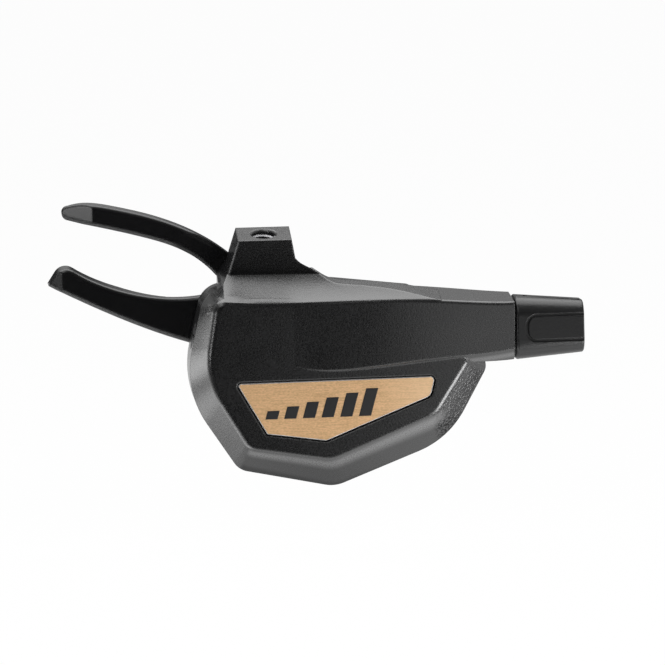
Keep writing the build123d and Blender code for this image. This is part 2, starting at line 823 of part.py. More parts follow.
# Cable spool: groove, pocket for the cable head, peg for its spring and studs for the ratchet
with BuildPart() as cable_spool:
    with BuildSketch(at_depth(spool_back_y)):
        Circle(spool_flange_radius)
        Circle(bush_radius + press_gap, mode=Mode.SUBTRACT)
    extrude(amount=spool_width)
    with BuildSketch(Plane(origin=(axle_x, 0, axle_z), x_dir=(1, 0, 0), z_dir=(0, 0, 1))):
        with BuildLine():
            Polyline(
                (spool_groove_radius, -cable_radius),
                (spool_flange_radius + 1, -groove_half_width),
                (spool_flange_radius + 1, groove_half_width),
                (spool_groove_radius, cable_radius),
                close=True,
            )
        make_face()
    revolve(axis=axle_line, mode=Mode.SUBTRACT)
    with BuildSketch(at_depth(spool_front_y)):
        Circle(spool_dish_outer)
        Circle(spool_dish_inner, mode=Mode.SUBTRACT)
    extrude(amount=-spool_dish_depth, mode=Mode.SUBTRACT)
    with BuildSketch(across_cable(axle_x - cable_radius)):
        Circle(cable_head_radius)
    extrude(amount=-spool_flange_radius, mode=Mode.SUBTRACT)
    with BuildSketch(at_depth(spool_front_y)):
        with Locations(spool_peg):
            Circle(peg_radius)
    extrude(amount=spool_spring_width + 2 * spring_gap)
    with BuildSketch(at_depth(ratchet_back_y)):
        with PolarLocations(stud_circle, 3):
            Circle(stud_radius)
    extrude(amount=ratchet_thickness)
cable_spool.part.label = "cable_spool"
export_step(cable_spool.part, "parts/cable_spool.step")

with BuildPart() as spool_bush:
    with BuildSketch(at_depth(ratchet_back_y)):
        Circle(bush_radius)
        Circle(axle_radius + running_gap, mode=Mode.SUBTRACT)
    extrude(amount=ratchet_back_y - spool_front_y)
spool_bush.part.label = "spool_bush"
export_step(spool_bush.part, "parts/spool_bush.step")

# Ratchet wheel: saw teeth whose steep faces stop the spool from unwinding
with BuildPart() as ratchet_wheel:
    saw = []
    for tooth in range(tooth_count):
        start = first_tooth_angle + tooth * tooth_pitch
        saw.append(polar(tooth_root_radius, start))
        saw.append(polar(tooth_tip_radius, start + tooth_lean))
        saw.append(polar(tooth_tip_radius, start + tooth_lean + tooth_land))
    with BuildSketch(at_depth(ratchet_back_y)):
        with BuildLine():
            Polyline(*saw, close=True)
        make_face()
        Circle(bush_radius + press_gap, mode=Mode.SUBTRACT)
        with PolarLocations(stud_circle, 3):
            Circle(stud_radius + press_gap, mode=Mode.SUBTRACT)
    extrude(amount=ratchet_thickness)
ratchet_wheel.part.label = "ratchet_wheel"
export_step(ratchet_wheel.part, "parts/ratchet_wheel.step")

# Flat springs of the spool and the two levers
lever_coil = spiral_strip(
    axle_radius + spring_gap,
    lever_coil_outer,
    lever_coil_turns,
    lever_coil_start,
    spring_slot_depth - spring_touch,
    lever_peg_circle + lever_peg_radius - lever_coil_outer - strip_thickness,
)

with BuildPart() as spool_spring:
    with BuildSketch(at_depth(spool_front_y - 2 * spring_gap)):
        add(
            spiral_strip(
                bush_radius + spring_gap,
                spool_coil_outer,
                spool_coil_turns,
                spool_coil_start,
                boss_slot_depth + spring_touch,
                peg_circle + peg_radius - spool_coil_outer - strip_thickness,
            )
        )
    extrude(amount=spool_spring_width)
spool_spring.part.label = "spool_spring"
export_step(spool_spring.part, "parts/spool_spring.step")

# Pull lever: hub, arm behind the pedestal and a curved thumb blade
with BuildSketch() as pull_blade:
    with BuildLine():
        Spline(*pull_top_edge)
        Line(pull_top_edge[-1], pull_low_edge[0])
        Spline(*pull_low_edge)
        ThreePointArc(pull_low_edge[-1], pull_tip, pull_top_edge[0])
    make_face()

anchor_peg_out = pawl_pin_radius + hairpin_gap - lever_peg_radius - spring_touch

with BuildPart() as pull_lever:
    with BuildSketch(at_depth(pull_back_y)):
        add(pull_blade.sketch)
        Circle(hub_radius)
        with BuildLine():
            Polyline(*pull_root, close=True)
        make_face()
        Circle(bush_radius + press_gap, mode=Mode.SUBTRACT)
        with Locations(drive_pivot):
            Circle(pawl_pin_radius + press_gap, mode=Mode.SUBTRACT)
    extrude(amount=lever_thickness)
    with BuildSketch(at_depth(pull_front_y)):
        add(pull_blade.sketch)
        Circle(pull_pad_radius, mode=Mode.SUBTRACT)
    extrude(amount=pull_front_y - pull_blade_front_y)
    pad = pull_lever.faces().filter_by(Axis.Y).sort_by(Axis.Y)[0]
    chamfer(pad.edges().sort_by(Axis.X)[-1], pull_ramp_length, pull_ramp_step, reference=pad)
    pad = pull_lever.faces().filter_by(Axis.Y).sort_by(Axis.Y)[0]
    fillet(pad.edges().sort_by(Axis.X)[:3], blade_edge_radius)
    add(tip_wedge(pull_facet_end, pull_facet_length, pull_blade_front_y), mode=Mode.SUBTRACT)
    with BuildSketch(at_depth(pull_front_y)):
        with Locations(lever_peg):
            Circle(lever_peg_radius)
    extrude(amount=lever_spring_width + spring_gap)
    with BuildSketch(at_depth(pull_front_y)):
        with Locations(drive_pivot):
            with Locations(Location((0, 0, 0), (0, 0, anchor_angle))):
                with Locations((anchor_peg_along, anchor_peg_out)):
                    Circle(lever_peg_radius)
    extrude(amount=pull_front_y - pawl_back_y - spring_gap)
pull_lever.part.label = "pull_lever"
export_step(pull_lever.part, "parts/pull_lever.step")

with BuildPart() as pull_lever_bush:
    with BuildSketch(at_depth(pull_back_y)):
        Circle(bush_radius)
        Circle(axle_radius + running_gap, mode=Mode.SUBTRACT)
    extrude(amount=lever_thickness)
pull_lever_bush.part.label = "pull_lever_bush"
export_step(pull_lever_bush.part, "parts/pull_lever_bush.step")

with BuildPart() as pull_lever_spring:
    with BuildSketch(at_depth(pull_spring_y + lever_spring_width)):
        add(lever_coil)
    extrude(amount=lever_spring_width)
pull_lever_spring.part.label = "pull_lever_spring"
export_step(pull_lever_spring.part, "parts/pull_lever_spring.step")

# Drive pawl on the pull lever
with BuildPart() as drive_pawl:
    with BuildSketch(at_depth(pawl_back_y)):
        with BuildLine():
            Polyline(*pawl_outline(drive_angle), close=True)
        make_face()
        with Locations(drive_pivot):
            Circle(pawl_hub_radius)
            Circle(pawl_pin_radius + running_gap, mode=Mode.SUBTRACT)
    extrude(amount=pawl_thickness)
    with BuildSketch(at_depth(pawl_back_y + pawl_stud_height)):
        with Locations(drive_stud):
            Circle(pawl_stud_radius)
    extrude(amount=pawl_stud_height)
drive_pawl.part.label = "drive_pawl"
export_step(drive_pawl.part, "parts/drive_pawl.step")

with BuildPart() as drive_pawl_pin:
    with BuildSketch(at_depth(pull_back_y)):
        with Locations(drive_pivot):
            Circle(pawl_pin_radius)
    extrude(amount=pull_back_y - pawl_front_y + running_gap)
    with BuildSketch(at_depth(pawl_front_y - running_gap)):
        with Locations(drive_pivot):
            Circle(pawl_pin_radius + pin_head_lip)
    extrude(amount=pin_head_lip)
drive_pawl_pin.part.label = "drive_pawl_pin"
export_step(drive_pawl_pin.part, "parts/drive_pawl_pin.step")

drive_ring = pawl_pin_radius + hairpin_gap
with BuildPart() as drive_pawl_spring:
    with BuildSketch(at_depth(pawl_back_y + spring_gap + wire)):
        with Locations(drive_pivot):
            add(
                hairpin(
                    drive_ring,
                    anchor_angle,
                    anchor_leg_length,
                    leg_angle(drive_pivot, drive_stud, drive_ring),
                    stud_leg_length,
                )
            )
    extrude(amount=wire)
drive_pawl_spring.part.label = "drive_pawl_spring"
export_step(drive_pawl_spring.part, "parts/drive_pawl_spring.step")

# Release lever: hub, finger for the holding pawl and a hooked thumb blade
with BuildSketch() as release_blade:
    with BuildLine():
        Line(release_low_edge[-1], release_hook[0])
        ThreePointArc(*release_hook, release_top_edge[0])
        Spline(*release_top_edge)
        Line(release_top_edge[-1], release_low_edge[0])
        Spline(*release_low_edge)
    make_face()

with BuildPart() as release_lever:
    with BuildSketch(at_depth(release_back_y)):
        add(release_blade.sketch)
        Circle(hub_radius)
        with BuildLine():
            Polyline(*release_root, close=True)
        make_face()
        with BuildLine():
            Polyline(
                finger_root[0],
                polar(finger_circle + finger_radius, finger_angle - finger_spread),
                polar(finger_circle + finger_radius, finger_angle + finger_spread),
                finger_root[1],
                close=True,
            )
        make_face()
        Circle(bush_radius + press_gap, mode=Mode.SUBTRACT)
    extrude(amount=lever_thickness)
    with BuildSketch(at_depth(release_blade_back_y)):
        add(release_blade.sketch)
        Circle(blade_start_radius, mode=Mode.SUBTRACT)
    extrude(amount=release_blade_back_y - release_back_y)
    pad = release_lever.faces().filter_by(Axis.Y).sort_by(Axis.Y)[-1]
    chamfer(pad.edges().sort_by(Axis.X)[-1], release_ramp_length, release_ramp_step, reference=pad)
    pad = release_lever.faces().filter_by(Axis.Y).sort_by(Axis.Y)[0]
    fillet(pad.edges().sort_by(Axis.X)[:4], blade_edge_radius)
    add(tip_wedge(release_facet_end, release_facet_length, release_front_y), mode=Mode.SUBTRACT)
    with BuildSketch(at_depth(release_front_y)):
        with Locations(polar(finger_circle, finger_angle)):
            Circle(finger_radius)
    extrude(amount=release_front_y - tail_front_y)
    with BuildSketch(at_depth(release_back_y + lever_spring_width + spring_gap)):
        with Locations(lever_peg):
            Circle(lever_peg_radius)
    extrude(amount=lever_spring_width + spring_gap)
release_lever.part.label = "release_lever"
export_step(release_lever.part, "parts/release_lever.step")

with BuildPart() as release_lever_bush:
    with BuildSketch(at_depth(release_back_y)):
        Circle(bush_radius)
        Circle(axle_radius + running_gap, mode=Mode.SUBTRACT)
    extrude(amount=lever_thickness)
release_lever_bush.part.label = "release_lever_bush"
export_step(release_lever_bush.part, "parts/release_lever_bush.step")

with BuildPart() as release_lever_spring:
    with BuildSketch(at_depth(release_spring_y + lever_spring_width)):
        add(lever_coil)
    extrude(amount=lever_spring_width)
release_lever_spring.part.label = "release_lever_spring"
export_step(release_lever_spring.part, "parts/release_lever_spring.step")

# Holding pawl on the housing, with a tail that the release finger pushes
with BuildPart() as holding_pawl:
    with BuildSketch(at_depth(pawl_back_y)):
        with BuildLine():
            Polyline(*pawl_outline(hold_angle), close=True)
        make_face()
    extrude(amount=pawl_thickness)
    tail_tip = polar(tail_circle, tail_angle)
    with BuildSketch(at_depth(tail_back_y)):
        with BuildLine() as tail_line:
            Line(hold_pivot, tail_tip)
        trace(line_width=2 * tail_radius)
        with Locations(tail_tip):
            Circle(tail_radius)
    extrude(amount=tail_back_y - tail_front_y)
    with BuildSketch(at_depth(tail_back_y)):
        with Locations(hold_pivot):
            Circle(pawl_hub_radius)
    extrude(amount=tail_back_y - pawl_front_y)
    with BuildSketch(at_depth(tail_back_y)):
        with Locations(hold_pivot):
            Circle(pawl_pin_radius + running_gap)
    extrude(amount=tail_back_y - pawl_front_y, mode=Mode.SUBTRACT)
    with BuildSketch(at_depth(pawl_front_y)):
        with Locations(hold_stud):
            Circle(pawl_stud_radius)
    extrude(amount=pawl_stud_height)
holding_pawl.part.label = "holding_pawl"
export_step(holding_pawl.part, "parts/holding_pawl.step")

with BuildPart() as holding_pawl_pin:
    with BuildSketch(at_depth(tail_back_y)):
        with Locations(hold_pivot):
            Circle(pawl_pin_radius)
    extrude(amount=tail_back_y + pawl_pin_seat)
holding_pawl_pin.part.label = "holding_pawl_pin"
export_step(holding_pawl_pin.part, "parts/holding_pawl_pin.step")

hold_ring = neck_radius + hairpin_gap
with BuildPart() as holding_pawl_spring:
    with BuildSketch(at_depth(neck_y + spring_gap + wire)):
        with Locations(hold_pivot):
            add(
                hairpin(
                    hold_ring,
                    hold_anchor_angle,
                    hold_anchor_length,
                    leg_angle(hold_pivot, hold_stud, hold_ring),
                    stud_leg_length,
                )
            )
    extrude(amount=wire)
holding_pawl_spring.part.label = "holding_pawl_spring"
export_step(holding_pawl_spring.part, "parts/holding_pawl_spring.step")

# Adjuster knob: a tapered rounded square with a grooved panel on each side
with BuildPart() as adjuster_knob:
    with BuildSketch(across_cable(knob_start_x)):
        RectangleRounded(knob_start_size, knob_start_size, knob_start_corner, rotation=knob_turn)
    with BuildSketch(across_cable(knob_end_x)):
        RectangleRounded(knob_end_size, knob_end_size, knob_end_corner, rotation=knob_turn)
    loft(ruled=True)
    fillet(adjuster_knob.faces().sort_by(Axis.X)[-1].edges(), knob_edge_radius)
    fillet(adjuster_knob.faces().sort_by(Axis.X)[0].edges(), knob_edge_radius)
    for side in range(4):
        with BuildSketch(knob_side_plane(90 * side + knob_turn)):
            add(panel_outline(0))
            add(panel_outline(groove_width), mode=Mode.SUBTRACT)
        extrude(amount=-groove_depth, mode=Mode.SUBTRACT)
    with BuildSketch(across_cable(knob_start_x)):
        Circle(stem_radius + press_gap)
    extrude(amount=knob_length, mode=Mode.SUBTRACT)
    with BuildSketch(across_cable(knob_start_x + knob_web)):
        Circle(stem_head_radius + press_gap)
    extrude(amount=knob_length, mode=Mode.SUBTRACT)
adjuster_knob.part.label = "adjuster_knob"
export_step(adjuster_knob.part, "parts/adjuster_knob.step")

# Adjuster stem: threaded tube with the seat for the cable housing
with BuildPart() as adjuster_stem:
    stem_end_x = knob_end_x - stem_end_gap
    with BuildSketch(across_cable(stem_inner_x)):
        Circle(stem_radius)
    extrude(amount=stem_end_x - stem_inner_x)
    with BuildSketch(across_cable(knob_start_x + knob_web)):
        Circle(stem_head_radius)
    extrude(amount=stem_end_x - knob_start_x - knob_web)
    with BuildSketch(across_cable(stem_inner_x)):
        Circle(cable_hole_radius)
    extrude(amount=stem_end_x - stem_inner_x, mode=Mode.SUBTRACT)
    with BuildSketch(across_cable(stem_end_x)):
        Circle(housing_seat_radius)
    extrude(amount=-housing_seat_depth, mode=Mode.SUBTRACT)
adjuster_stem.part.label = "adjuster_stem"
export_step(adjuster_stem.part, "parts/adjuster_stem.step")

# Detent sleeve, keyed in the tunnel, and its spring
with BuildPart() as detent_sleeve:
    with BuildSketch(across_cable(sleeve_end_x)):
        Circle(sleeve_outer_radius)
        with Locations((0, sleeve_outer_radius)):
            Rectangle(key_width, 2 * key_height)
        Circle(stem_radius + 2 * running_gap, mode=Mode.SUBTRACT)
    extrude(amount=-sleeve_length)
detent_sleeve.part.label = "detent_sleeve"
export_step(detent_sleeve.part, "parts/detent_sleeve.step")

with BuildPart() as detent_spring:
    with BuildLine() as coil:
        Helix(
            pitch=detent_coil_height / detent_turns,
            height=detent_coil_height,
            radius=detent_coil_radius,
            center=(detent_floor_x + wire, 0, cable_z),
            direction=(1, 0, 0),
        )
    with BuildSketch(Plane(origin=coil.line @ 0, z_dir=coil.line % 0)):
        Rectangle(wire, wire)
    sweep(is_frenet=True)
detent_spring.part.label = "detent_spring"
export_step(detent_spring.part, "parts/detent_spring.step")

# Cable port plug in the side wall, opposite the adjuster
with BuildPart() as cable_port_plug:
    with BuildSketch(across_cable(plug_inner_x)):
        Circle(port_radius - running_gap)
    extrude(amount=-plug_blank)
    add(outer_form.part, mode=Mode.INTERSECT)
    with BuildSketch(across_cable(plug_slot_x)):
        Rectangle(2 * port_radius, plug_slot_width)
    extrude(amount=-plug_blank, mode=Mode.SUBTRACT)
cable_port_plug.part.label = "cable_port_plug"
export_step(cable_port_plug.part, "parts/cable_port_plug.step")
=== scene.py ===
import json
import logging
import math
from dataclasses import dataclass, field
from enum import Enum
from typing import ClassVar, Optional, Union

import bmesh
import bpy
from mathutils import Matrix, Vector


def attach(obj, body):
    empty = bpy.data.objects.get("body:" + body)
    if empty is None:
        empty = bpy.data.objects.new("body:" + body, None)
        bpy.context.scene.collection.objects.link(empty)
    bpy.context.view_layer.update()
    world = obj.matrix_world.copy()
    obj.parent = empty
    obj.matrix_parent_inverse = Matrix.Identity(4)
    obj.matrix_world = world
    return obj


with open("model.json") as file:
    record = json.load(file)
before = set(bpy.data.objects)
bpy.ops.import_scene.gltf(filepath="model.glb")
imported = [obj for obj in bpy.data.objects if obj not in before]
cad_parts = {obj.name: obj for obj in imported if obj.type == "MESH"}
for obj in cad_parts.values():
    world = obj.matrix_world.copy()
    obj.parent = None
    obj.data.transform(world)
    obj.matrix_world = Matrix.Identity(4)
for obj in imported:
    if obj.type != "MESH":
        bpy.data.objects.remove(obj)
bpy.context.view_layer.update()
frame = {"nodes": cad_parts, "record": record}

LOG = logging.getLogger("shifter")
Colour = tuple[float, float, float]
Point = tuple[float, float, float]
Span = tuple[float, float]
Value = Union[float, "Shade"]
Key = Union[int, str]
Settings = dict[str, object]
Inputs = dict[Key, object]

EDGE_SAMPLES = 6
UP: Point = (0.0, 0.0, 1.0)
DOWN: Point = (0.0, 0.0, -1.0)
RIGHT: Point = (1.0, 0.0, 0.0)
BACK: Point = (0.0, 1.0, 0.0)

# Outward direction of the housing's face, and how far along it the face lies.
FACE_TILT = math.radians(2.6)
FACE_OUT: Point = (math.sin(FACE_TILT), -math.cos(FACE_TILT), 0.0)
FACE_AT = 0.00863


class Body(Enum):
    """Rigid bodies that pieces ride on."""

    HOUSING = "housing"


class Slot(Enum):
    """Material slots of the part's record."""

    HOUSING = "housing_satin"
    COVER = "cover_black"
    BADGE = "badge_gold"
    PLATE = "plate_alloy"
    STEEL = "steel_bright"
    SCREW = "screw_dark"
    SPRING = "spring_steel"
    SPOOL = "spool_resin"
    BUSH = "bush_resin"
    LEVER = "lever_black"
    KNOB = "knob_grey"
    STEM = "stem_alloy"
    SLEEVE = "sleeve_resin"


@dataclass
class Shade:
    """A value in a material: one output socket, with the arithmetic that adds Math nodes."""

    graph: "Graph"
    socket: bpy.types.NodeSocket

    def _math(self, operation: str, first: Value, second: Value) -> "Shade":
        """Joins two values by one Math node.

        Args:
            operation: The Math node's operation.
            first: Left value.
            second: Right value.

        Returns:
            The node's output.
        """
        return self.graph.node("ShaderNodeMath", {"operation": operation}, {0: first, 1: second})

    def __add__(self, other: Value) -> "Shade":
        """Sum of two values."""
        return self._math("ADD", self, other)

    def __radd__(self, other: Value) -> "Shade":
        """Sum with a plain number on the left."""
        return self._math("ADD", other, self)

    def __sub__(self, other: Value) -> "Shade":
        """Difference of two values."""
        return self._math("SUBTRACT", self, other)

    def __rsub__(self, other: Value) -> "Shade":
        """Difference with a plain number on the left."""
        return self._math("SUBTRACT", other, self)

    def __mul__(self, other: Value) -> "Shade":
        """Product of two values."""
        return self._math("MULTIPLY", self, other)

    def __rmul__(self, other: Value) -> "Shade":
        """Product with a plain number on the left."""
        return self._math("MULTIPLY", other, self)

    def swing(self, reach: float) -> "Shade":
        """Noise around 0.5 as a change around 0, over the whole of a reach."""
        return (self - 0.5) * reach

    def ramp(self, low: float, high: float) -> "Shade":
        """Rises smoothly from 0 to 1.

        Args:
            low: Value where the rise starts.
            high: Value where it ends.

        Returns:
            The eased value.
        """
        settings = {"interpolation_type": "SMOOTHSTEP"}
        inputs = {"Value": self, "From Min": low, "From Max": high}
        return self.graph.node("ShaderNodeMapRange", settings, inputs)


@dataclass
class Graph:
    """Node tree of one material or world, with the few helpers that the finishes use."""

    tree: bpy.types.NodeTree

    def node(self, kind: str, settings: Settings, inputs: Inputs, output: Key = 0) -> Shade:
        """Adds a node.

        Args:
            kind: Blender's name of the node type.
            settings: Properties, set before the sockets.
            inputs: Socket index or name to a number, a colour or a value.
            output: Socket that is handed back.

        Returns:
            The chosen output.
        """
        made = self.tree.nodes.new(kind)
        for name, value in settings.items():
            setattr(made, name, value)
        for key, value in inputs.items():
            if isinstance(value, Shade):
                self.tree.links.new(value.socket, made.inputs[key])
            else:
                made.inputs[key].default_value = value
        return Shade(self, made.outputs[output])

    def place(self) -> Shade:
        """Position on the piece, in its own frame."""
        return self.node("ShaderNodeTexCoord", {}, {}, "Object")

    def facing(self) -> Shade:
        """Surface direction on the piece, in its own frame."""
        return self.node("ShaderNodeTexCoord", {}, {}, "Normal")

    def along(self, vector: Shade, direction: Point) -> Shade:
        """Part of a vector that lies along a direction.

        Args:
            vector: The vector.
            direction: A direction of length 1.

        Returns:
            The scalar product.
        """
        settings = {"operation": "DOT_PRODUCT"}
        return self.node("ShaderNodeVectorMath", settings, {0: vector, 1: direction}, "Value")

    def noise(self, scale: float, detail: float = 2.0, stretch: Point = (1.0, 1.0, 1.0)) -> Shade:
        """Noise over the piece.

        Args:
            scale: Patches per metre.
            detail: Octaves.
            stretch: Factor on each axis.

        Returns:
            Noise around 0.5.
        """
        spot = self.node("ShaderNodeMapping", {}, {"Vector": self.place(), "Scale": stretch})
        return self.node("ShaderNodeTexNoise", {}, {"Vector": spot, "Scale": scale, "Detail": detail})

    def mix(self, factor: Value, first: Union[Colour, Shade], second: Union[Colour, Shade]) -> Shade:
        """Blends two colours.

        Args:
            factor: Share of the second one.
            first: Colour at 0.
            second: Colour at 1.

        Returns:
            The blended colour.
        """
        pair = [c if isinstance(c, Shade) else (*c, 1.0) for c in (first, second)]
        inputs = {0: factor, 6: pair[0], 7: pair[1]}
        return self.node("ShaderNodeMix", {"data_type": "RGBA"}, inputs, 2)

    def turn(self, factor: Value, first: Shade, second: Union[Point, Shade]) -> Shade:
        """Blends two directions.

        Args:
            factor: Share of the second one.
            first: Direction at 0.
            second: Direction at 1.

        Returns:
            The blended direction.
        """
        inputs = {0: factor, 4: first, 5: second}
        return self.node("ShaderNodeMix", {"data_type": "VECTOR"}, inputs, 1)

    def soft_edges(self, radius: float) -> Shade:
        """Surface direction with its edges eased by a small radius."""
        return self.node("ShaderNodeBevel", {"samples": EDGE_SAMPLES}, {"Radius": radius})

    def bump(self, height: Shade, depth: float, normal: Optional[Shade] = None) -> Shade:
        """Relief that only shades.

        Args:
            height: Relief between 0 and 1.
            depth: Its depth in metres.
            normal: Direction that it starts from.

        Returns:
            The new surface direction.
        """
        inputs = {"Height": height, "Distance": depth, "Strength": 1.0}
        if normal is not None:
            inputs["Normal"] = normal
        return self.node("ShaderNodeBump", {}, inputs)


def principled(name: str, sockets: Settings) -> tuple[bpy.types.Material, Graph, bpy.types.Node]:
    """Starts a material.

    Args:
        name: Name of the material.
        sockets: Constant values of its shader.

    Returns:
        The material, its graph and its shader.
    """
    material = bpy.data.materials.new(name)
    material.use_nodes = True
    shader = material.node_tree.nodes["Principled BSDF"]
    for key, value in sockets.items():
        shader.inputs[key].default_value = value
    return material, Graph(material.node_tree), shader


def feed(graph: Graph, shader: bpy.types.Node, **values: Shade) -> None:
    """Links values to a shader.

    Args:
        graph: Graph that holds the shader.
        shader: The shader.
        values: Socket name, with underscores for spaces, to a value.
    """
    for name, value in values.items():
        graph.tree.links.new(value.socket, shader.inputs[name.replace("_", " ")])


def scaled(colour: Colour, factor: float) -> Colour:
    """A colour made darker or lighter by a factor, up to full strength."""
    red, green, blue = (min(1.0, c * factor) for c in colour)
    return red, green, blue


@dataclass(frozen=True)
class Pits:
    """Coarse pits of the casting, on the side that one direction names."""

    side: Point = (0.55, -0.69, -0.47)
    side_span: Span = (0.955, 0.978)
    scale: float = 2100.0
    pit_span: Span = (0.40, 0.60)
    swing: float = 0.45
    relief: float = 0.7
    dulling: float = 0.55

    def shares(self, graph: Graph) -> tuple[Shade, Shade]:
        """Works out where the pits lie.

        Args:
            graph: Graph of the paint.

        Returns:
            1 on the pitted side, and the pits between 0 and 1.
        """
        here = graph.along(graph.facing(), self.side).ramp(*self.side_span)
        return here, graph.noise(self.scale, detail=1.0).ramp(*self.pit_span)


@dataclass(frozen=True)
class BevelPaintedLight:
    """Low bevel of the casting: a painted highlight of extra coat gloss along the face, then a flat and
    a rim darkened through Metallic as painted shade, in place of a rounded bevel's light and shade.

    The roll's and the rim's spans are depths behind the face, in metres.
    """

    side: Point = (0.10, -0.75, -0.65)
    side_span: Span = (0.82, 0.92)
    roll_rise: Span = (0.0001, 0.0009)
    roll_fall: Span = (0.0010, 0.0024)
    rim_span: Span = (0.0040, 0.0052)
    shine: float = 0.9
    flat_painted_shade: float = 0.20
    rim_painted_shade: float = 0.30

    def shares(self, graph: Graph) -> tuple[Shade, Shade]:
        """Works out where the bevel gets its painted highlight and where it gets its painted shade.

        Args:
            graph: Graph of the paint.

        Returns:
            Coat weight of the roll's painted highlight, and metallic share that paints shade on the
            rest.
        """
        here = graph.along(graph.facing(), self.side).ramp(*self.side_span)
        depth = FACE_AT - graph.along(graph.place(), FACE_OUT)
        past_roll = depth.ramp(*self.roll_fall)
        # Painted highlight: extra coat gloss where a rounded edge would catch the light.
        roll = here * depth.ramp(*self.roll_rise) * (1.0 - past_roll)
        # Painted shade: the flat and the rim are darkened through Metallic.
        painted_shade = here * (past_roll * self.flat_painted_shade + depth.ramp(*self.rim_span) * self.rim_painted_shade)
        return roll * self.shine, painted_shade


@dataclass(frozen=True)
class CoveFoot:
    """Narrow flat strip where the cove meets the face, shaded in the cove's own direction.

    Its bottom, top and right end are places in the part's frame, in metres.
    """

    bottom: Span = (-0.0134, -0.0130)
    top: Span = (-0.0120, -0.0116)
    right_end: Span = (0.007, 0.010)
    strip_side: Point = (0.0, -0.37, 0.93)
    strip_span: Span = (0.972, 0.984)
    cove_side: Point = (0.0, -0.59, 0.81)

    def blend(self, graph: Graph, normal: Shade) -> Shade:
        """Turns the strip into the cove.

        Args:
            graph: Graph of the paint.
            normal: Surface direction everywhere else.

        Returns:
            The new surface direction.
        """
        height = graph.along(graph.place(), UP)
        left_part = 1.0 - graph.along(graph.place(), RIGHT).ramp(*self.right_end)
        here = height.ramp(*self.bottom) * (1.0 - height.ramp(*self.top)) * left_part
        strip = graph.along(graph.facing(), self.strip_side).ramp(*self.strip_span)
        return graph.turn(here * strip, normal, self.cove_side)


@dataclass(frozen=True)
class Casting:
    """What the housing's casting adds to its paint, including painted highlight and painted shade on the
    low bevel.
    """

    pits: Pits = Pits()
    # Painted highlight and painted shade on the low bevel.
    roll: BevelPaintedLight = BevelPaintedLight()
    foot: CoveFoot = CoveFoot()


@dataclass(frozen=True)
class SatinPaint:
    """Satin grey paint with a fine grain, on a plain moulding or on a casting."""

    colour: Colour
    gloss: float
    roughness: float
    grain: float
    edge: float = 0.0005
    casting: Optional[Casting] = None
    coat_ior: float = 1.8
    coat_roughness: float = 0.3
    fine_scale: float = 2600.0
    fine_span: Span = (0.3, 0.7)
    fine_swing: float = 0.16
    fine_relief: float = 0.5
    broad_scale: float = 160.0
    broad_swing: float = 0.10
    relief_depth: float = 0.00004

    def make(self, name: str) -> bpy.types.Material:
        """Builds the material.

        Args:
            name: Name of the material.

        Returns:
            The material.
        """
        constants = {
            "Specular IOR Level": self.gloss,
            "Coat IOR": self.coat_ior,
            "Coat Roughness": self.coat_roughness,
        }
        material, graph, shader = principled(name, constants)
        fine = graph.noise(self.fine_scale)
        broad = graph.noise(self.broad_scale, detail=3.0)
        dark = scaled(self.colour, 1.0 - self.grain)
        light = scaled(self.colour, 1.0 + self.grain)
        colour = graph.mix(fine.ramp(*self.fine_span), dark, light)
        rough = broad.swing(self.broad_swing) + fine.swing(self.fine_swing) + self.roughness
        relief = fine * self.fine_relief
        normal = graph.soft_edges(self.edge)
        if self.casting is not None:
            cast, pits = self.casting.pits.shares(graph)
            # The bevel's shares are its painted highlight and its painted shade.
            shine, painted_shade = self.casting.roll.shares(graph)
            rough = rough + cast * pits.swing(self.casting.pits.swing)
            relief = relief + cast * pits * self.casting.pits.relief
            normal = self.casting.foot.blend(graph, normal)
            # Metallic darkens the pits, and paints shade on the low bevel's flat and rim.
            metallic = cast * pits * self.casting.pits.dulling + painted_shade
            feed(graph, shader, Metallic=metallic, Coat_Weight=shine)
        normal = graph.bump(relief, self.relief_depth, normal)
        feed(graph, shader, Base_Color=colour, Roughness=rough, Normal=normal)
        return material


@dataclass(frozen=True)
class MouldedResin:
    """Plain moulded resin with a faint texture."""

    colour: Colour
    roughness: float
    edge: float = 0.0002
    dark: float = 0.85
    light: float = 1.15
    fine_scale: float = 3600.0
    broad_scale: float = 120.0
    broad_swing: float = 0.14
    relief_depth: float = 0.00001

    def make(self, name: str) -> bpy.types.Material:
        """Builds the material.

        Args:
            name: Name of the material.

        Returns:
            The material.
        """
        material, graph, shader = principled(name, {})
        fine = graph.noise(self.fine_scale)
        broad = graph.noise(self.broad_scale)
        colour = graph.mix(broad, scaled(self.colour, self.dark), scaled(self.colour, self.light))
        rough = broad.swing(self.broad_swing) + self.roughness
        normal = graph.bump(fine, self.relief_depth, graph.soft_edges(self.edge))
        feed(graph, shader, Base_Color=colour, Roughness=rough, Normal=normal)
        return material


@dataclass(frozen=True)
class GlossBlack:
    """Deep gloss black of the thumb levers, whose lower edges are rounder than the others."""

    colour: Colour
    roughness: float
    gloss: float = 0.5
    edge: float = 0.0006
    low_edge: float = 0.0015
    low_span: Span = (0.0, 0.08)
    dark: float = 0.8
    light: float = 1.3
    broad_scale: float = 90.0
    broad_swing: float = 0.10
    wear_scale: float = 900.0
    wear_swing: float = 0.06

    def make(self, name: str) -> bpy.types.Material:
        """Builds the material.

        Args:
            name: Name of the material.

        Returns:
            The material.
        """
        material, graph, shader = principled(name, {"Specular IOR Level": self.gloss})
        broad = graph.noise(self.broad_scale)
        wear = graph.noise(self.wear_scale, detail=3.0)
        colour = graph.mix(wear, scaled(self.colour, self.dark), scaled(self.colour, self.light))
        rough = broad.swing(self.broad_swing) + wear.swing(self.wear_swing) + self.roughness
        round_edges = graph.soft_edges(self.low_edge)
        low = graph.along(round_edges, DOWN).ramp(*self.low_span)
        normal = graph.turn(low, graph.soft_edges(self.edge), round_edges)
        feed(graph, shader, Base_Color=colour, Roughness=rough, Normal=normal)
        return material


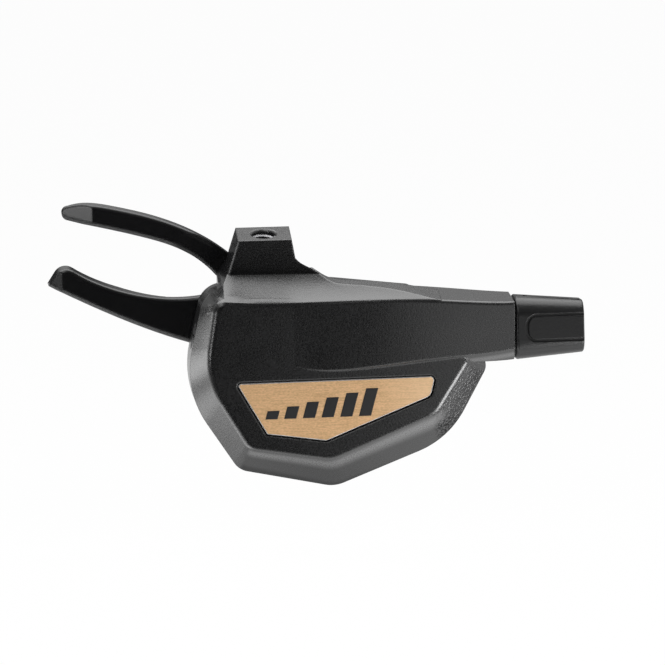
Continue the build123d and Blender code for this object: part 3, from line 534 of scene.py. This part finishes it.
@dataclass(frozen=True)
class BrushedGold:
    """Warm anodised alloy, brushed along the plate, with a painted sheen that makes it lighter to the
    right, and a bright cut edge.
    """

    light: Colour
    dark: Colour
    # Colour of the painted sheen at the right end.
    bright: Colour
    rim: Colour
    metallic: float = 0.05
    streak_scale: float = 6500.0
    streak_stretch: Point = (0.035, 0.035, 1.0)
    streak_share: float = 0.40
    streak_swing: float = 0.25
    fine_scale: float = 5200.0
    fine_stretch: Point = (0.40, 0.40, 1.0)
    brush_span: Span = (0.32, 0.68)
    sheen: float = 0.5
    sheen_span: Span = (0.020, 0.036)
    flat_span: Span = (0.93, 0.97)
    rim_roughness: float = 0.30
    flat_roughness: float = 0.55
    relief_depth: float = 0.000006

    def make(self, name: str) -> bpy.types.Material:
        """Builds the material.

        Args:
            name: Name of the material.

        Returns:
            The material.
        """
        material, graph, shader = principled(name, {"Metallic": self.metallic})
        streak = graph.noise(self.streak_scale, detail=0.0, stretch=self.streak_stretch)
        fine = graph.noise(self.fine_scale, detail=1.0, stretch=self.fine_stretch)
        marks = streak * self.streak_share + fine * (1.0 - self.streak_share)
        brushed = graph.mix(marks.ramp(*self.brush_span), self.dark, self.light)
        # Painted sheen: the colour lightens towards the right.
        sheen = graph.along(graph.place(), RIGHT).ramp(*self.sheen_span) * self.sheen
        flat = graph.along(graph.facing(), FACE_OUT).ramp(*self.flat_span)
        colour = graph.mix(flat, self.rim, graph.mix(sheen, brushed, self.bright))
        rough = self.rim_roughness + flat * (self.flat_roughness - self.rim_roughness)
        rough = rough + streak.swing(self.streak_swing)
        normal = graph.bump(fine, self.relief_depth)
        feed(graph, shader, Base_Color=colour, Roughness=rough, Normal=normal)
        return material


@dataclass(frozen=True)
class TurnedMetal:
    """Turned or pressed metal with fine tool marks."""

    colour: Colour
    roughness: float
    edge: float = 0.00012
    dark: float = 0.88
    light: float = 1.08
    fine_scale: float = 2400.0
    fine_stretch: Point = (1.0, 0.25, 1.0)
    fine_swing: float = 0.16
    broad_scale: float = 220.0
    relief_depth: float = 0.000006

    def make(self, name: str) -> bpy.types.Material:
        """Builds the material.

        Args:
            name: Name of the material.

        Returns:
            The material.
        """
        material, graph, shader = principled(name, {"Metallic": 1.0})
        fine = graph.noise(self.fine_scale, detail=3.0, stretch=self.fine_stretch)
        broad = graph.noise(self.broad_scale)
        colour = graph.mix(broad, scaled(self.colour, self.dark), scaled(self.colour, self.light))
        rough = fine.swing(self.fine_swing) + self.roughness
        normal = graph.bump(fine, self.relief_depth, graph.soft_edges(self.edge))
        feed(graph, shader, Base_Color=colour, Roughness=rough, Normal=normal)
        return material


Finish = Union[SatinPaint, MouldedResin, GlossBlack, BrushedGold, TurnedMetal]

FINISHES: dict[Slot, Finish] = {
    Slot.HOUSING: SatinPaint(
        colour=(0.005, 0.005, 0.0054),
        gloss=1.0,
        roughness=0.28,
        grain=0.3,
        casting=Casting(),
    ),
    Slot.COVER: MouldedResin((0.012, 0.012, 0.013), 0.48),
    Slot.BADGE: BrushedGold(
        light=(0.75, 0.47, 0.245),
        dark=(0.54, 0.33, 0.156),
        # Colour of the painted sheen towards the right end.
        bright=(0.85, 0.60, 0.36),
        rim=(0.80, 0.78, 0.76),
    ),
    Slot.PLATE: TurnedMetal((0.36, 0.36, 0.37), 0.45),
    Slot.STEEL: TurnedMetal((0.60, 0.60, 0.61), 0.30),
    Slot.SCREW: TurnedMetal((0.10, 0.10, 0.11), 0.40),
    Slot.SPRING: TurnedMetal((0.42, 0.42, 0.44), 0.34),
    Slot.SPOOL: MouldedResin((0.05, 0.05, 0.053), 0.50),
    Slot.BUSH: MouldedResin((0.62, 0.58, 0.48), 0.45),
    Slot.LEVER: GlossBlack((0.0072, 0.0072, 0.0077), 0.18),
    Slot.KNOB: SatinPaint((0.006, 0.006, 0.0064), gloss=0.5, roughness=0.34, grain=0.16, edge=0.0003),
    Slot.STEM: TurnedMetal((0.22, 0.22, 0.23), 0.38),
    Slot.SLEEVE: MouldedResin((0.03, 0.03, 0.031), 0.50),
}


@dataclass
class Wardrobe:
    """All finishes, each made on its first use."""

    made: dict[Slot, bpy.types.Material] = field(default_factory=dict)

    def material(self, slot: Slot) -> bpy.types.Material:
        """Looks a finish up, and makes it if it is new.

        Args:
            slot: Slot that the finish is for.

        Returns:
            Its material.
        """
        if slot not in self.made:
            self.made[slot] = FINISHES[slot].make(slot.value)
        return self.made[slot]


@dataclass
class SubAssembly:
    """Pieces that come off the bench together: CAD nodes to dress, and fine pieces to add to them."""

    wardrobe: Wardrobe
    nodes: ClassVar[tuple[str, ...]] = ()

    def dress(self) -> None:
        """Gives each of the nodes the finish of its slot."""
        slots = {row["node"]: Slot(row["material_slot"]) for row in frame["record"]["subparts"]}
        for name in self.nodes:
            node = frame["nodes"][name]
            material = self.wardrobe.material(slots[name])
            if not node.material_slots:
                node.data.materials.append(material)
            for place in node.material_slots:
                place.material = material
            LOG.info("dressed %s in %s", name, material.name)

    def build(self) -> None:
        """Adds the fine pieces, where the sub-assembly has any."""

    def add_piece(self, name: str, mesh: bmesh.types.BMesh, slot: Slot, body: Body) -> None:
        """Turns a mesh into a finished piece.

        Args:
            name: Name of the piece.
            mesh: Its mesh, in the part's frame. It is freed.
            slot: Slot that it takes its finish from.
            body: Body that it rides on.
        """
        bmesh.ops.recalc_face_normals(mesh, faces=mesh.faces)
        data = bpy.data.meshes.new(name)
        mesh.to_mesh(data)
        mesh.free()
        data.materials.append(self.wardrobe.material(slot))
        piece = bpy.data.objects.new(name, data)
        bpy.context.scene.collection.objects.link(piece)
        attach(piece, body.value)
        LOG.info("made %s", name)


@dataclass
class Housing(SubAssembly):
    """Cast housing with its cover, its fasteners and the thread of the handlebar clamp."""

    nodes: ClassVar[tuple[str, ...]] = (
        "front_housing",
        "rear_cover",
        "base_plate",
        "cover_screws",
        "main_axle",
        "axle_nut",
        "axle_washers",
        "cable_port_plug",
    )
    thread_tilt: float = math.radians(12.5)
    thread_outer: float = 0.00248
    thread_inner: float = 0.00206
    thread_pitch: float = 0.0008
    thread_length: float = 0.0076
    thread_steps: int = 40
    root_share: float = 0.44
    crest_share: float = 0.06
    merge_distance: float = 1e-7

    def build(self) -> None:
        """Spins a small tooth up the clamp's bore."""
        turns = int(self.thread_length / self.thread_pitch)
        steps = turns * self.thread_steps
        mesh = bmesh.new()
        tooth = [
            (self.thread_outer, -self.root_share),
            (self.thread_inner, -self.crest_share),
            (self.thread_inner, self.crest_share),
            (self.thread_outer, self.root_share),
        ]
        verts = [mesh.verts.new((r, 0, h * self.thread_pitch - self.thread_length)) for r, h in tooth]
        face = mesh.faces.new(verts)
        bmesh.ops.spin(
            mesh,
            geom=[*verts, *face.edges, face],
            cent=(0, 0, 0),
            axis=UP,
            dvec=(0, 0, turns * self.thread_pitch / steps),
            angle=2 * math.pi * turns,
            steps=steps,
            use_duplicate=False,
        )
        bmesh.ops.remove_doubles(mesh, verts=mesh.verts, dist=self.merge_distance)
        bmesh.ops.transform(mesh, matrix=Matrix.Rotation(self.thread_tilt, 4, "X"), verts=mesh.verts)
        self.add_piece("clamp_thread_turns", mesh, Slot.PLATE, Body.HOUSING)


@dataclass
class Badge(SubAssembly):
    """Brushed plate let into the face, with a row of slanted bars that grow in height."""

    nodes: ClassVar[tuple[str, ...]] = ("badge_plate",)
    origin: Point = (0.008, -0.0083, -0.033)
    count: int = 6
    first_x: float = -0.0062
    spacing: float = 0.0040
    width: float = 0.0026
    base_z: float = -0.0052
    first_height: float = 0.0018
    growth: float = 0.00082
    lean: float = 0.28
    sink: float = -0.00021
    thickness: float = 0.00005

    def build(self) -> None:
        """Sets the bars on the plate."""
        mesh = bmesh.new()
        for i in range(self.count):
            height = self.first_height + self.growth * i
            size = Matrix.Diagonal((self.width, height, self.thickness, 1.0))
            spot = (
                self.first_x + self.spacing * i,
                self.base_z + height / 2,
                self.sink + self.thickness / 2,
            )
            bmesh.ops.create_cube(mesh, size=1.0, matrix=Matrix.Translation(spot) @ size)
        slant = Matrix.Shear("XZ", 4, (self.lean, 0.0))
        outward = Vector(FACE_OUT)
        across = Vector((-outward.y, outward.x, 0.0))
        turn = Matrix((across, Vector(UP), outward)).transposed().to_4x4()
        place = Matrix.Translation(self.origin) @ turn @ slant
        bmesh.ops.transform(mesh, matrix=place, verts=mesh.verts)
        self.add_piece("badge_bars", mesh, Slot.COVER, Body.HOUSING)


@dataclass
class Levers(SubAssembly):
    """Two thumb levers on the axle, with their bushes and return springs."""

    nodes: ClassVar[tuple[str, ...]] = (
        "pull_lever",
        "pull_lever_bush",
        "pull_lever_spring",
        "release_lever",
        "release_lever_bush",
        "release_lever_spring",
    )


@dataclass
class Ratchet(SubAssembly):
    """Cable spool with its ratchet wheel, and the two pawls that drive and hold it."""

    nodes: ClassVar[tuple[str, ...]] = (
        "cable_spool",
        "ratchet_wheel",
        "spool_bush",
        "spool_spring",
        "drive_pawl",
        "drive_pawl_pin",
        "drive_pawl_spring",
        "holding_pawl",
        "holding_pawl_pin",
        "holding_pawl_spring",
    )


@dataclass
class CableAdjuster(SubAssembly):
    """Adjuster at the end of the cable tunnel: knob, threaded stem and its click detent."""

    nodes: ClassVar[tuple[str, ...]] = (
        "adjuster_knob",
        "adjuster_stem",
        "detent_sleeve",
        "detent_spring",
    )


@dataclass(frozen=True)
class Lamp:
    """One soft rectangular lamp: place, point that it looks at, width and height, watts."""

    name: str
    spot: Point
    aim: Point
    size: tuple[float, float]
    power: float

    def hang(self) -> None:
        """Puts the lamp in the scene."""
        data = bpy.data.lights.new(self.name, "AREA")
        data.shape = "RECTANGLE"
        data.size, data.size_y = self.size
        data.energy = self.power
        lamp = bpy.data.objects.new(self.name, data)
        lamp.location = self.spot
        way = Vector(self.aim) - Vector(self.spot)
        lamp.rotation_euler = way.to_track_quat("-Z", "Y").to_euler()
        lamp.visible_camera = False
        bpy.context.scene.collection.objects.link(lamp)


MIDDLE: Point = (0.01, 0.0, -0.025)
LAMPS: tuple[Lamp, ...] = (
    Lamp("top_lamp", (0.0, 0.22, 0.7), MIDDLE, (1.0, 0.82), 7.6),
    Lamp("key_lamp", (-0.25, -0.60, 0.75), MIDDLE, (0.5, 0.5), 1.6),
    Lamp("left_lamp", (-0.42, 0.13, -0.085), (-0.02, 0.0, -0.04), (0.30, 0.14), 0.35),
    Lamp("left_low_lamp", (-0.16, 0.01, -0.150), (-0.015, 0.0, -0.045), (0.10, 0.08), 0.06),
    Lamp("lever_lamp", (-0.09, -0.06, -0.150), (-0.035, 0.008, -0.005), (0.12, 0.05), 0.06),
    Lamp("right_lamp", (0.62, -0.22, 0.02), MIDDLE, (0.3, 0.34), 0.6),
    Lamp("tip_lamp", (-0.44, -0.46, -0.035), (-0.043, 0.008, -0.002), (0.14, 0.08), 0.28),
    Lamp("tunnel_lamp", (0.116, -0.23, -0.045), (0.04, -0.008, -0.025), (0.09, 0.11), 0.025),
    Lamp("crease_lamp", (0.161, -0.113, -0.114), (0.040, -0.005, -0.035), (0.09, 0.06), 0.18),
    Lamp("low_lamp", (0.03, -0.06, -0.150), MIDDLE, (0.24, 0.06), 0.03),
)


@dataclass(frozen=True)
class Card:
    """One dark card that the part mirrors: place, tilt about the X axis in degrees, width and height."""

    name: str
    spot: Point
    tilt: float
    size: tuple[float, float]
    grey: float = 0.01

    def stand(self) -> None:
        """Puts the card in the scene, out of the camera's sight."""
        mesh = bmesh.new()
        bmesh.ops.create_grid(mesh, x_segments=1, y_segments=1, size=0.5)
        turn = Matrix.Rotation(math.radians(self.tilt), 4, "X")
        place = Matrix.Translation(self.spot) @ turn @ Matrix.Diagonal((*self.size, 1.0, 1.0))
        bmesh.ops.transform(mesh, matrix=place, verts=mesh.verts)
        data = bpy.data.meshes.new(self.name)
        mesh.to_mesh(data)
        mesh.free()
        matte = {"Base Color": (self.grey, self.grey, self.grey, 1.0), "Roughness": 1.0}
        material, _, _ = principled(self.name, matte)
        data.materials.append(material)
        card = bpy.data.objects.new(self.name, data)
        card.visible_camera = False
        card.visible_shadow = False
        bpy.context.scene.collection.objects.link(card)


CARDS: tuple[Card, ...] = (
    Card("front_card", (0.0, -0.47, -0.085), -12.0, (1.6, 0.66)),
    Card("back_card", (-0.055, 0.5, -0.008), 90.0, (0.39, 0.105)),
)


@dataclass
class Studio:
    """Floor, lamps, world and camera."""

    floor_z: float = -0.16
    floor_size: float = 6.0
    floor_grey: float = 0.86
    floor_roughness: float = 0.9
    floor_glow: float = 0.96
    back_light: float = 0.42
    back_span: Span = (-0.55, 0.45)
    sky_light: float = 0.24
    sky_span: Span = (0.1, 0.9)
    room_light: float = 0.03
    azimuth: float = -4.5
    elevation: float = 9.0
    roll: float = 1.0
    scale: float = 4710.0
    image: float = 665.0
    lens: float = 400.0
    sensor: float = 36.0
    nearest: float = 0.05
    farthest: float = 40.0
    mouth: Point = (0.0, -0.000087, 0.00039)
    mouth_pixel: tuple[float, float] = (263.6, 233.8)

    def build(self) -> None:
        """Sets up the whole studio."""
        self.floor()
        for card in CARDS:
            card.stand()
        self.world()
        for lamp in LAMPS:
            lamp.hang()
        self.camera()
        bpy.context.scene.view_settings.view_transform = "Standard"

    def floor(self) -> None:
        """Lays the pale floor, which is white to the camera apart from soft shadows."""
        mesh = bmesh.new()
        bmesh.ops.create_grid(mesh, x_segments=1, y_segments=1, size=self.floor_size)
        bmesh.ops.translate(mesh, verts=mesh.verts, vec=(0, 0, self.floor_z))
        data = bpy.data.meshes.new("floor")
        mesh.to_mesh(data)
        mesh.free()
        matte = {
            "Base Color": (self.floor_grey, self.floor_grey, self.floor_grey, 1.0),
            "Roughness": self.floor_roughness,
            "Specular IOR Level": 0.0,
        }
        material, graph, shader = principled("floor_white", matte)
        glow = graph.node("ShaderNodeEmission", {}, {"Color": (1, 1, 1, 1), "Strength": 1.0})
        mixed = graph.node("ShaderNodeMixShader", {}, {0: self.seen(graph) * self.floor_glow, 2: glow})
        graph.tree.links.new(shader.outputs[0], mixed.socket.node.inputs[1])
        graph.tree.links.new(mixed.socket, graph.tree.nodes["Material Output"].inputs["Surface"])
        data.materials.append(material)
        floor = bpy.data.objects.new("floor", data)
        bpy.context.scene.collection.objects.link(floor)

    def seen(self, graph: Graph) -> Shade:
        """Finds the rays that the floor is white to.

        Args:
            graph: Graph of the floor.

        Returns:
            1 for rays from the camera, a mirror or glass, and 0 for the others.
        """
        camera = graph.node("ShaderNodeLightPath", {}, {}, "Is Camera Ray")
        rays = camera.socket.node.outputs
        seen = camera + Shade(graph, rays["Is Glossy Ray"]) + Shade(graph, rays["Is Transmission Ray"])
        return seen.ramp(0.0, 1.0)

    def world(self) -> None:
        """Soft room: bright above and behind, dark on the camera's side."""
        world = bpy.data.worlds.new("studio")
        bpy.context.scene.world = world
        world.use_nodes = True
        graph = Graph(world.node_tree)
        way = graph.node("ShaderNodeTexCoord", {}, {}, "Generated")
        back = graph.along(way, BACK).ramp(*self.back_span) * self.back_light
        sky = graph.along(way, UP).ramp(*self.sky_span) * self.sky_light
        light = graph.mix(back + sky + self.room_light, (0.0, 0.0, 0.0), (1.0, 1.0, 1.0))
        graph.tree.links.new(light.socket, world.node_tree.nodes["Background"].inputs["Color"])

    def camera(self) -> None:
        """Sets the camera where the photograph was taken from."""
        a, e, r = (math.radians(v) for v in (self.azimuth, self.elevation, self.roll))
        back = Vector((math.sin(a) * math.cos(e), -math.cos(a) * math.cos(e), math.sin(e)))
        right = Vector((math.cos(a), math.sin(a), 0.0))
        up = back.cross(right)
        across = right * math.cos(r) - up * math.sin(r)
        rise = up * math.cos(r) + right * math.sin(r)
        middle = self.image / 2
        aim = Vector(self.mouth)
        aim += across * (middle - self.mouth_pixel[0]) / self.scale
        aim -= rise * (middle - self.mouth_pixel[1]) / self.scale
        data = bpy.data.cameras.new("camera")
        data.sensor_width = self.sensor
        data.lens = self.lens
        distance = self.image / self.scale * self.lens / self.sensor
        data.clip_start = distance * self.nearest
        data.clip_end = distance * self.farthest
        camera = bpy.data.objects.new("camera", data)
        turn = Matrix((across, rise, back)).transposed().to_4x4()
        camera.matrix_world = Matrix.Translation(aim + back * distance) @ turn
        bpy.context.scene.collection.objects.link(camera)
        bpy.context.scene.camera = camera


def main() -> None:
    """Dresses each sub-assembly, adds its fine pieces and sets up the studio."""
    logging.basicConfig(level=logging.INFO)
    wardrobe = Wardrobe()
    parts = [kind(wardrobe) for kind in (Housing, Badge, Levers, Ratchet, CableAdjuster)]
    for part in parts:
        part.dress()
        part.build()
    left = set(frame["nodes"]) - {name for part in parts for name in part.nodes}
    if left:
        LOG.warning("not dressed: %s", sorted(left))
    Studio().build()


if __name__ == "__main__":
    main()
